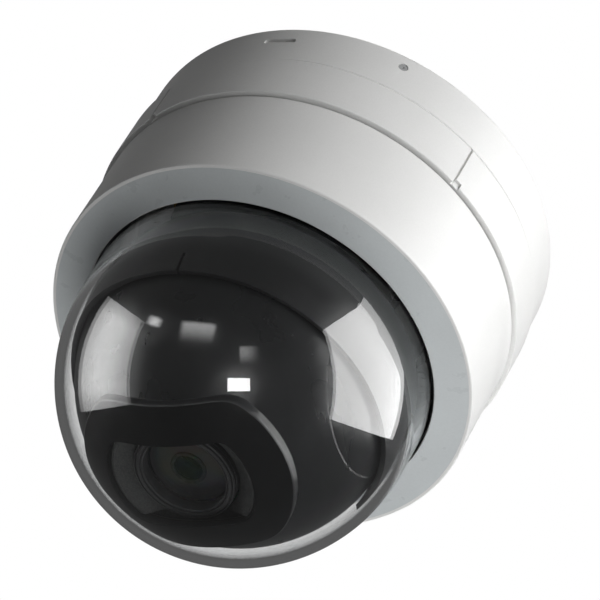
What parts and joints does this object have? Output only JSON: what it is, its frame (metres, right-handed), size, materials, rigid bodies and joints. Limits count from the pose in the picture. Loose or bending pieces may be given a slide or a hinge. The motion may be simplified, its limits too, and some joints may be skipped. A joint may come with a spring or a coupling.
{
  "type": "ptz camera",
  "caption": "Ceiling dome camera with a clear bubble, motorised pan, tilt, zoom and focus, and a network socket behind the ceiling face.",
  "frame": {"origin": "centre of the ceiling face of the mounting plate", "axes": "+Z out of the ceiling face, into the ceiling; the dome hangs towards -Z; the tilt axis lies along X and the lens swings towards -Y"},
  "size_m": [0.13, 0.13, 0.1362],
  "materials": {
    "white_shell": "fine satin texture",
    "clear_dome": "polished clear polycarbonate",
    "black_gloss": "polished black",
    "black_matte": "fine grained black",
    "grey_plastic": "satin",
    "seal_rubber": "matt black",
    "steel": "plated",
    "aluminium": "stamped sheet",
    "brass": "machined",
    "nylon": "moulded",
    "circuit_board": "solder mask",
    "lens_glass": "coated optical glass"
  },
  "bodies": {
    "housing": {"mounting_plate": "steel", "base_housing": "white_shell", "lock_screw": "steel", "cable_grommet": "seal_rubber", "ethernet_jack": "steel", "reset_switch": "black_matte", "collar_ring": "white_shell", "lower_cover": "white_shell", "cover_seal": "seal_rubber", "dome_bubble": "clear_dome", "dome_gasket": "seal_rubber", "dome_retainer": "grey_plastic", "retainer_screw_1": "steel", "retainer_screw_2": "steel", "retainer_screw_3": "steel", "chassis_plate": "aluminium", "chassis_post_1": "brass", "chassis_post_2": "brass", "chassis_post_3": "brass", "main_board": "circuit_board", "pan_bushing": "brass", "pan_motor": "steel"},
    "release_pad": {"release_button": "white_shell"},
    "reset_pin": {"reset_button": "grey_plastic"},
    "pan_drive": {"pan_pinion": "brass", "pan_motor_shaft": "steel"},
    "pan_head": {"pan_gear": "nylon", "turntable": "aluminium", "pan_spindle": "steel", "spindle_clip": "steel", "yoke_arm_left": "aluminium", "yoke_arm_right": "aluminium", "tilt_pivot_left": "steel", "tilt_pivot_right": "steel", "pan_shroud": "black_gloss", "cheek_left": "black_gloss", "cheek_right": "black_gloss", "tilt_gear": "nylon"},
    "camera_ball": {"ball_front": "black_gloss", "ball_rear": "black_gloss", "ball_side_left": "black_matte", "ball_side_right": "black_matte", "tilt_motor": "steel", "lens_carrier": "black_matte", "lens_barrel": "black_matte", "lens_ring": "black_gloss", "front_glass": "lens_glass", "iris_plate": "black_matte", "image_sensor": "black_gloss", "sensor_board": "circuit_board", "lens_bezel": "black_matte", "ir_led_board": "circuit_board"},
    "tilt_drive": {"tilt_pinion": "brass", "tilt_motor_shaft": "steel"},
    "zoom_group": {"zoom_cell": "black_matte", "zoom_lens": "lens_glass"},
    "focus_group": {"focus_cell": "black_matte", "focus_lens": "lens_glass"},
    "filter": {"filter_slide": "lens_glass"}
  },
  "joints": [
    {"name": "release_press", "type": "slide", "parent": "housing", "child": "release_pad", "axis": [0, -1, 0], "range_m": [0, 0.001], "stiffness_N_per_m": 600},
    {"name": "reset_press", "type": "slide", "parent": "housing", "child": "reset_pin", "axis": [0, 0, -1], "range_m": [0, 0.0005], "stiffness_N_per_m": 400},
    {"name": "pan", "type": "hinge", "parent": "housing", "child": "pan_head", "pos_m": [0, 0, -0.0841], "axis": [0, 0, 1], "range_deg": [-175, 175]},
    {"name": "pan_pinion_spin", "type": "hinge", "parent": "housing", "child": "pan_drive", "pos_m": [-0.03375, 0, -0.0294], "axis": [0, 0, 1], "range_deg": [-770, 770]},
    {"name": "tilt", "type": "hinge", "parent": "pan_head", "child": "camera_ball", "pos_m": [0, 0, -0.0841], "axis": [-1, 0, 0], "range_deg": [0, 75]},
    {"name": "tilt_pinion_spin", "type": "hinge", "parent": "camera_ball", "child": "tilt_drive", "pos_m": [0.03755, 0, -0.0705], "axis": [-1, 0, 0], "range_deg": [0, 180]},
    {"name": "zoom", "type": "slide", "parent": "camera_ball", "child": "zoom_group", "axis": [0, 0, 1], "range_m": [0, 0.008]},
    {"name": "focus", "type": "slide", "parent": "camera_ball", "child": "focus_group", "axis": [0, 0, -1], "range_m": [0, 0.003]},
    {"name": "filter_swap", "type": "slide", "parent": "camera_ball", "child": "filter", "axis": [-1, 0, 0], "range_m": [0, 0.009]}
  ],
  "couplings": [
    {"joint": "pan_pinion_spin", "follows": "pan", "ratio": -4.4},
    {"joint": "tilt_pinion_spin", "follows": "tilt", "ratio": 2.4}
  ]
}
